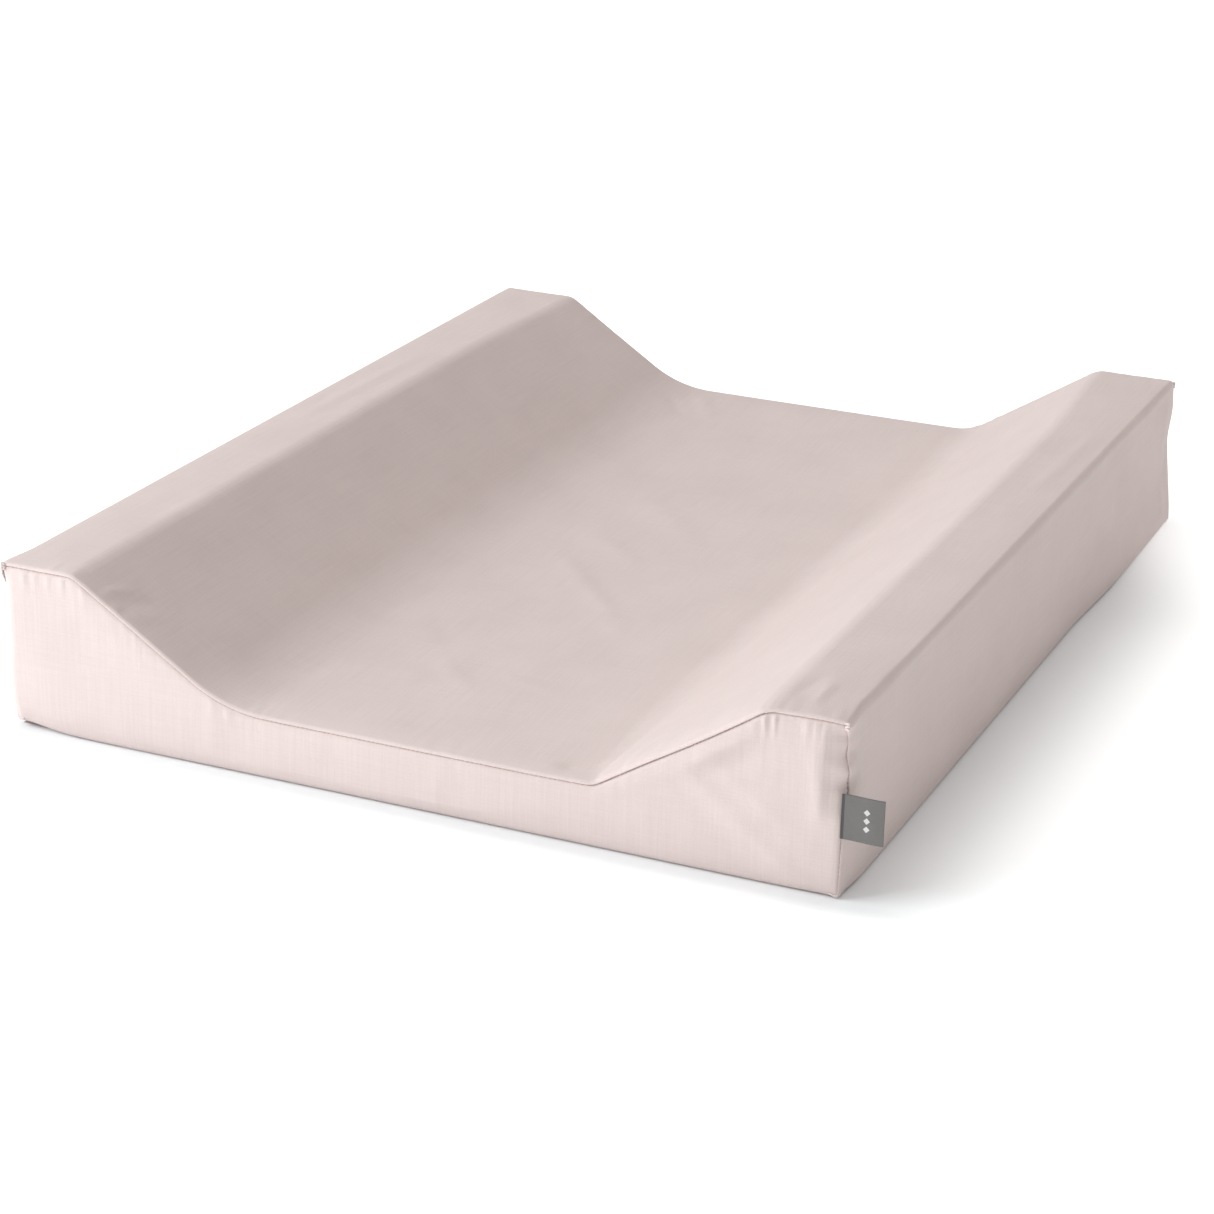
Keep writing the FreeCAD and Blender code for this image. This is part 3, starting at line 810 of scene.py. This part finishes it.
def build_side_label():
    """The small satin ribbon in the front right seam, folded over at its outer end."""
    low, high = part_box("side_label")
    middle = (low.y + high.y) / 2
    root, tip = HALF_WIDTH - 0.0012, high.x
    gap = 0.00030
    x = np.linspace(root, tip - gap, 26)
    share = (x - root) / (tip - root)
    sway = middle + 0.00035 * np.sin(share * 5.2 + 0.4) + 0.00045 * share**3
    half = gap * np.minimum(1.0, 0.55 + 1.2 * share)
    angles = np.linspace(-math.pi / 2, math.pi / 2, 7)[1:-1]
    turn = [(tip - gap + gap * math.cos(a), sway[-1] + gap * math.sin(a)) for a in angles]
    path = [*zip(x, sway - half), *turn, *zip(x[::-1], (sway + half)[::-1])]
    ribbon, length = folded_ribbon("side_label_ribbon", low.z, high.z, path)
    finish_piece(ribbon, "label", "label_satin", "side_label")


def build_care_label():
    """The blank washing label inside the cover's left side."""
    low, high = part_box("care_label")
    y = np.linspace(low.y, high.y, 30)
    x = -HALF_WIDTH + 0.0013 + 0.0002 * np.sin(y * 190)
    ribbon, length = folded_ribbon("care_label_ribbon", low.z, high.z, list(zip(x, y)))
    finish_piece(ribbon, "pad", "care_satin", "care_label")


# ---- the zip


def build_tape(name, node, up):
    """One woven tape, with the rounded cord along its inner edge that the coil is sewn to."""
    low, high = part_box(node)
    reach = HALF_WIDTH - SEAM_EDGE[-1, 0] - 0.0002
    inner, outer = (low.z, high.z) if up > 0 else (high.z, low.z)
    x = np.linspace(-reach, reach, 260)
    share = np.linspace(0.0, 1.0, 15)[:, None] ** 1.5
    y = high.y - 0.0001 + 0.00025 * hill(share, 0.05) - 0.00006 * np.sin(x * 140) * share
    points = placed(x, y, inner + (outer - inner) * share)
    settle(points)
    tape = make_cloth(name, points, points[..., [0, 2]], up > 0)
    finish_piece(tape, "pad", "zip_tape", node)


def build_coil(name, node, up):
    """One side of the coil: a nylon wire wound in flat loops whose heads mesh with the other side's."""
    low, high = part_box(node)
    wire, steps, sides = 0.00029, 14, 6
    turns = int((high.x - low.x) / COIL_PITCH) - 1
    t = np.arange(turns * steps + 1) / steps
    angle = t * 2 * math.pi
    head = ZIP_HEIGHT - up * 0.00035
    outer = high.z if up > 0 else low.z
    centre, half = (head + outer) / 2, abs(outer - head) / 2 - wire
    x = low.x + COIL_PITCH * (t + 0.5 + up * 0.25) + 0.00012 * np.sin(2 * angle)
    depth = (high.y - low.y) / 2 - wire
    squared = np.sign(np.cos(angle)) * np.abs(np.cos(angle)) ** 0.7
    path = placed(x, (low.y + high.y) / 2 + depth * squared, centre + half * np.sin(angle))
    along = unit(np.gradient(path, axis=0))
    first = unit(np.cross(along, [[1.0, 0.0, 0.0]]))
    second = np.cross(along, first)
    ring = np.arange(sides)[:, None] * 2 * math.pi / sides
    points = path[:, None] + wire * (first[:, None] * np.cos(ring) + second[:, None] * np.sin(ring))
    at = np.arange(len(path) * sides).reshape(len(path), sides)
    beside = np.roll(at, -1, axis=1)
    quads = np.stack([at[:-1], beside[:-1], beside[1:], at[1:]], -1).reshape(-1, 4)
    faces = [list(q) for q in quads] + [list(at[0])[::-1], list(at[-1])]
    finish_piece(make_mesh(name, points.reshape(-1, 3), faces), "pad", "zip_coil", node)


def finish_metal():
    """The slider, its pull and the stops keep their CAD shapes, with softened edges."""
    for node, width in SOFT_EDGES.items():
        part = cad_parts[node]
        part.data.materials.clear()
        part.data.materials.append(FINISHES["zip_metal"])
        soft = part.modifiers.new("soft_edges", "BEVEL")
        adjust(soft, width=MM * width, segments=3, limit_method="ANGLE", harden_normals=False)
        soft.angle_limit = math.radians(40)


def build_zip():
    """The zip's tapes, coil and stitching round the CAD slider and pull."""
    for up, name in ((1, "upper"), (-1, "lower")):
        build_tape(f"zip_tape_{name}_cloth", f"zip_tape_{name}", up)
        build_coil(f"zip_coil_{name}_spiral", f"zip_coil_{name}", up)
    build_zip_stitching()
    finish_metal()


# ---- materials


class Nodes:
    """A node tree and short ways to build it."""

    def __init__(self, tree):
        self.tree = tree

    def node(self, kind, inputs=(), output=0, **settings):
        """Adds a node. Inputs are given by their order, as numbers, colours or other nodes' outputs."""
        made = self.tree.nodes.new("ShaderNode" + kind)
        adjust(made, **settings)
        for i, value in dict(inputs).items():
            self.feed(value, made.inputs[i])
        return made.outputs[output]

    def feed(self, value, socket):
        """Gives a socket a number, a colour or another node's output."""
        if isinstance(value, bpy.types.NodeSocket):
            self.tree.links.new(value, socket)
        else:
            socket.default_value = value

    def math(self, operation, a, b=0.0):
        return self.node("Math", {0: a, 1: b}, operation=operation)

    def apart(self, a, b):
        """How far two values are from each other."""
        return self.math("ABSOLUTE", self.math("SUBTRACT", a, b))

    def ramp(self, value, start, end, low, high):
        """Smoothly from low to high as value goes from start to end."""
        steps = {0: value, 1: start, 2: end, 3: low, 4: high}
        return self.node("MapRange", steps, interpolation_type="SMOOTHSTEP")

    def sum(self, *terms):
        """The sum of (value, weight) pairs."""
        total = 0.0
        for value, weight in terms:
            part = self.math("MULTIPLY", value, weight)
            total = part if isinstance(total, float) else self.math("ADD", total, part)
        return total


class Shading(Nodes):
    """A new material whose pattern is placed by UVs in metres or by the object's own coordinates."""

    def __init__(self, name, place, **sockets):
        self.material = bpy.data.materials.new(name)
        self.material.use_nodes = True
        super().__init__(self.material.node_tree)
        self.inputs = self.tree.nodes["Principled BSDF"].inputs
        for socket, value in sockets.items():
            self.inputs[socket.replace("_", " ")].default_value = value
        self.place = self.node("TexCoord", output=place)

    def noise(self, scales, detail=2.0):
        """Noise from -0.5 to 0.5 with its own scale along each axis."""
        scaled = self.node("VectorMath", {0: self.place, 1: scales}, operation="MULTIPLY")
        value = self.node("TexNoise", {"Vector": scaled, "Scale": 1.0, "Detail": detail}, "Fac")
        return self.math("SUBTRACT", value, 0.5)

    def axis(self, name):
        """One coordinate of the pattern's place."""
        return self.node("SeparateXYZ", {0: self.place}, name)

    def mix(self, share, first, second):
        return self.node("Mix", {0: share, 6: first, 7: second}, 2, data_type="RGBA")

    def colour(self, dark, light, *terms):
        """The base colour, from dark to light as the terms' sum goes from -0.5 to 0.5."""
        share = self.math("ADD", self.sum(*terms), 0.5)
        self.feed(self.mix(share, (*dark, 1.0), (*light, 1.0)), self.inputs["Base Color"])

    def roughness(self, amount, middle, spread):
        value = self.math("ADD", self.math("MULTIPLY", amount, spread), middle)
        self.feed(value, self.inputs["Roughness"])

    def bump(self, distance, strength, *terms):
        """Bumps whose height is the terms' sum."""
        sockets = {"Strength": strength, "Distance": distance, "Height": self.sum(*terms)}
        self.feed(self.node("Bump", sockets, "Normal"), self.inputs["Normal"])


def cotton(name, dark, light, streaks):
    """Washed cotton with uneven yarns: fine streaks along each thread direction and a plain weave."""
    shade = Shading(name, "UV", Sheen_Weight=0.12, Sheen_Roughness=0.45, Specular_IOR_Level=0.25)
    lengthways = shade.noise((950.0, 22.0, 1.0), 3.0)
    crossways = shade.noise((24.0, 900.0, 1.0), 3.0)
    blotches = shade.noise((26.0, 19.0, 1.0), 3.0)
    flecks = shade.noise((1500.0, 1400.0, 1.0), 1.0)
    turns = math.pi / YARN_PITCH
    weave = shade.math("MULTIPLY", *(
        shade.math("SINE", shade.math("MULTIPLY", shade.axis(letter), turns)) for letter in "XY"
    ))
    yarns = ((lengthways, streaks), (crossways, 0.40))
    shade.colour(dark, light, *yarns, (blotches, 0.45), (flecks, 0.60), (weave, 0.05))
    shade.roughness(crossways, 0.88, 0.16)
    shade.bump(0.00012, 0.75, (weave, 0.35), (lengthways, 1.1), (crossways, 1.0), (flecks, 0.7))
    return shade.material


def satin(name, dark, light, lozenges_and_root_shadow=False):
    """Woven satin ribbon: close floats along its length, a soft gloss and, if asked, a row of lozenges and
    a painted shadow at its root in the seam.
    """
    shade = Shading(name, "UV", Specular_IOR_Level=0.5, Sheen_Weight=0.1)
    floats = shade.noise((260.0, 5200.0, 1.0), 1.0)
    cloudy = shade.noise((70.0, 90.0, 1.0))
    shade.colour(dark, light, (floats, 0.9), (cloudy, 0.5))
    if lozenges_and_root_shadow:
        add_lozenges_and_root_shadow(shade)
    shade.roughness(floats, 0.46, 0.2)
    shade.bump(0.00006, 0.6, (floats, 1.0), (cloudy, 0.4))
    return shade.material


def add_lozenges_and_root_shadow(shade):
    """Three light lozenges in a row across the ribbon, and a near-black band along its root, which is
    painted shadow where the ribbon goes into the seam.
    """
    pitch, middle, half = 0.0046, 0.0125, 0.0018
    along, across = shade.axis("X"), shade.axis("Y")
    aside = shade.apart(along, 0.0138)
    shifted = shade.math("ADD", across, pitch / 2 - middle + 4 * pitch)
    repeated = shade.apart(shade.math("MODULO", shifted, pitch), pitch / 2)
    lozenge = shade.math("LESS_THAN", shade.math("ADD", aside, repeated), half)
    three = shade.math("LESS_THAN", shade.apart(across, middle), 1.5 * pitch)
    # Painted shadow: the first 1.6 mm of the ribbon, where it goes into the seam, is made near black.
    edge = shade.math("LESS_THAN", along, 0.0016)
    plain = shade.inputs["Base Color"].links[0].from_socket
    marked = shade.mix(shade.math("MULTIPLY", lozenge, three), plain, (0.62, 0.60, 0.60, 1.0))
    shade.feed(shade.mix(edge, marked, (0.055, 0.052, 0.055, 1.0)), shade.inputs["Base Color"])


def coated_film():
    """Polyurethane-coated knit: white, slightly glossy, with fine creases."""
    shade = Shading("liner_film", "UV", Specular_IOR_Level=0.5)
    creases = shade.noise((55.0, 40.0, 1.0), 5.0)
    grain = shade.noise((1800.0, 1800.0, 1.0), 1.0)
    shade.colour((0.76, 0.76, 0.74), (0.86, 0.86, 0.85), (creases, 0.6), (grain, 0.4))
    shade.roughness(grain, 0.36, 0.2)
    shade.bump(0.0003, 0.6, (creases, 4.0), (grain, 0.3))
    return shade.material


def open_foam():
    """Cut polyether foam with open cells."""
    shade = Shading("foam", "Object", Specular_IOR_Level=0.2)
    cells = shade.node("TexVoronoi", {"Vector": shade.place, "Scale": 1300.0}, "Distance")
    mottle = shade.noise((60.0, 60.0, 60.0))
    shade.colour((0.62, 0.60, 0.50), (0.82, 0.80, 0.70), (cells, 0.8), (mottle, 0.7))
    shade.roughness(cells, 0.9, 0.1)
    shade.bump(0.0004, 0.8, (cells, 1.0))
    return shade.material


def herringbone():
    """Zip tape: a dense twill that changes direction in narrow bands."""
    shade = Shading("zip_tape", "UV", Sheen_Weight=0.15, Specular_IOR_Level=0.3)
    zigzag = shade.math("PINGPONG", shade.axis("Y"), 0.0013)
    slanted = shade.math("ADD", shade.axis("X"), zigzag)
    rib = shade.math("SINE", shade.math("MULTIPLY", slanted, 2 * math.pi / 0.0007))
    fuzz = shade.noise((1500.0, 1500.0, 1.0), 2.0)
    shade.colour((0.60, 0.50, 0.48), (0.76, 0.67, 0.65), (rib, 0.22), (fuzz, 0.6))
    shade.roughness(fuzz, 0.8, 0.2)
    shade.bump(0.00012, 0.8, (rib, 1.0), (fuzz, 0.5))
    return shade.material


def nylon():
    """The coil's smooth nylon wire."""
    shade = Shading("zip_coil", "Object", Specular_IOR_Level=0.5, Coat_Weight=0.1)
    haze = shade.noise((300.0, 300.0, 300.0))
    shade.colour((0.66, 0.56, 0.54), (0.78, 0.69, 0.67), (haze, 1.0))
    shade.roughness(haze, 0.34, 0.15)
    shade.bump(0.00003, 0.4, (haze, 1.0))
    return shade.material


def nickel():
    """Brushed nickel with the faint scratches of handling."""
    shade = Shading("zip_metal", "Object", Metallic=1.0)
    brushed = shade.noise((300.0, 3000.0, 6000.0))
    wear = shade.noise((260.0, 260.0, 260.0), 5.0)
    shade.colour((0.52, 0.50, 0.48), (0.76, 0.74, 0.71), (wear, 1.0))
    shade.roughness(shade.sum((brushed, 0.5), (wear, 1.0)), 0.30, 0.22)
    shade.bump(0.00002, 0.5, (brushed, 1.0), (wear, 0.8))
    return shade.material


def spun_thread():
    """Sewing thread in a deeper shade than the cotton, with its twist."""
    shade = Shading("thread", "Object", Sheen_Weight=0.2, Specular_IOR_Level=0.35)
    twist = shade.noise((2600.0, 2600.0, 2600.0), 1.0)
    shade.colour((0.42, 0.275, 0.245), (0.60, 0.44, 0.40), (twist, 1.0))
    shade.roughness(twist, 0.7, 0.2)
    shade.bump(0.00006, 0.7, (twist, 1.0))
    return shade.material


# ---- the room


def add_camera():
    """The camera, from the front right and above, with a slight roll."""
    azimuth, elevation, roll = (math.radians(a) for a in (23.39, 21.20, 1.30))
    distance, aside, above = 1.9623, -0.0225, -0.0426
    level = math.cos(elevation)
    back = Vector((math.sin(azimuth) * level, -math.cos(azimuth) * level, math.sin(elevation)))
    right = Vector((math.cos(azimuth), math.sin(azimuth), 0.0))
    up = back.cross(right)
    tilted_right = math.cos(roll) * right + math.sin(roll) * up
    tilted_up = math.cos(roll) * up - math.sin(roll) * right
    eye = Vector((0, 0, HEIGHT / 2)) + back * distance + tilted_right * aside + tilted_up * above
    data = bpy.data.cameras.new("camera")
    adjust(data, lens=93.45, sensor_width=36.0, clip_start=0.05, clip_end=50.0)
    camera = bpy.data.objects.new("camera", data)
    turn = Matrix((tilted_right, tilted_up, back)).transposed().to_4x4()
    camera.matrix_world = Matrix.Translation(eye) @ turn
    bpy.context.scene.collection.objects.link(camera)
    bpy.context.scene.camera = camera


def add_light(name, place, target, size, power, colour):
    """A soft square area light that points at a target."""
    data = bpy.data.lights.new(name, "AREA")
    adjust(data, shape="SQUARE", size=size, energy=power, color=colour)
    lamp = bpy.data.objects.new(name, data)
    lamp.location = place
    lamp.rotation_euler = (Vector(target) - Vector(place)).to_track_quat("-Z", "Y").to_euler()
    bpy.context.scene.collection.objects.link(lamp)


def floor_with_painted_glow():
    """White paper with a painted glow: its emission rises away from the pad, and sooner behind it, so that
    the pad's shadow stays short.
    """
    white, tint = (1.0, 1.0, 1.0, 1.0), (0.925, 0.945, 0.96, 1.0)
    shade = Shading("floor_painted_glow", "Object", Roughness=1.0, Specular_IOR_Level=0.0, Emission_Color=white,
                    Base_Color=tint)
    beyond = shade.node("VectorMath", {0: shade.place}, operation="ABSOLUTE")
    for operation, other in (("SUBTRACT", (HALF_WIDTH, HALF_LENGTH, 0.0)), ("MAXIMUM", (0.0, 0.0, 0.0))):
        beyond = shade.node("VectorMath", {0: beyond, 1: other}, operation=operation)
    away = shade.node("VectorMath", {0: beyond}, "Value", operation="LENGTH")
    behind = shade.ramp(shade.axis("Y"), 0.13, 0.34, 0.0, 0.058)
    before = shade.ramp(shade.axis("Y"), -0.350, -0.326, 0.036, 0.0)
    away = shade.math("ADD", shade.math("ADD", away, behind), before)
    # Painted light: the floor's glow is nil beside the pad and full from about 9 cm out, which cuts the
    # pad's cast shadow short.
    shade.feed(shade.ramp(away, 0.005, 0.088, 0.0, 0.46), shade.inputs["Emission Strength"])
    return shade.material


def add_room():
    """A pale floor with a painted glow and no edge in view, a large soft light from the front left and a
    weak one above.
    """
    bpy.ops.mesh.primitive_plane_add(size=30.0, location=(0.0, 0.0, -0.0002))
    floor = bpy.context.object
    floor.name = "floor"
    floor.data.materials.append(floor_with_painted_glow())
    world = bpy.data.worlds.new("surround")
    bpy.context.scene.world = world
    world.use_nodes = True
    sky = Nodes(world.node_tree)
    sides = {0: sky.node("TexCoord", output="Generated"), 1: (-0.24, -0.02, 0.32)}
    towards = sky.node("VectorMath", sides, "Value", operation="DOT_PRODUCT")
    background = world.node_tree.nodes["Background"].inputs
    sky.feed(sky.math("ADD", towards, 0.39), background["Strength"])
    background["Color"].default_value = (1.0, 0.985, 0.965, 1.0)
    add_light("key", (-1.64, -1.27, 1.02), (0, 0, 0.05), 1.6, 41.0, (0.93, 0.98, 1.0))
    add_light("fill", (0.85, 1.20, 1.90), (0.1, 0.2, 0.05), 1.5, 6.0, (1.0, 0.97, 0.94))
    bpy.context.scene.view_settings.view_transform = "Standard"


# ---- everything together


FINISHES = {
    "cover_cotton": cotton("wrap_cotton", (0.630, 0.528, 0.505), (0.780, 0.668, 0.645), 0.5),
    # The end panels' cotton has stronger streaks along its yarns, which is real. Its tint, a little darker
    # than the wrap's, is painted shade that offsets the stronger light on the front end.
    "end_cotton_painted_shade": cotton("end_cotton_painted_shade", (0.625, 0.520, 0.500), (0.760, 0.652, 0.630), 0.65),
    "label_satin": satin("label_satin", (0.115, 0.109, 0.105), (0.170, 0.162, 0.156), True),
    "care_satin": satin("care_satin", (0.74, 0.73, 0.71), (0.84, 0.83, 0.81)),
    "liner_film": coated_film(),
    "foam": open_foam(),
    "zip_tape": herringbone(),
    "zip_coil": nylon(),
    "zip_metal": nickel(),
    "thread": spun_thread(),
}

add_camera()
add_room()
fall = simulate_cover()
build_cover(fall)
build_liner()
build_foam()
for side, end, grid in zip((-1, 1), ("front", "back"), fall["ends"]):
    build_stitching(f"{end}_stitching", f"{end}_seam_thread", side, grid)
build_tufts(fall["ends"])
build_side_label()
build_care_label()
build_zip()
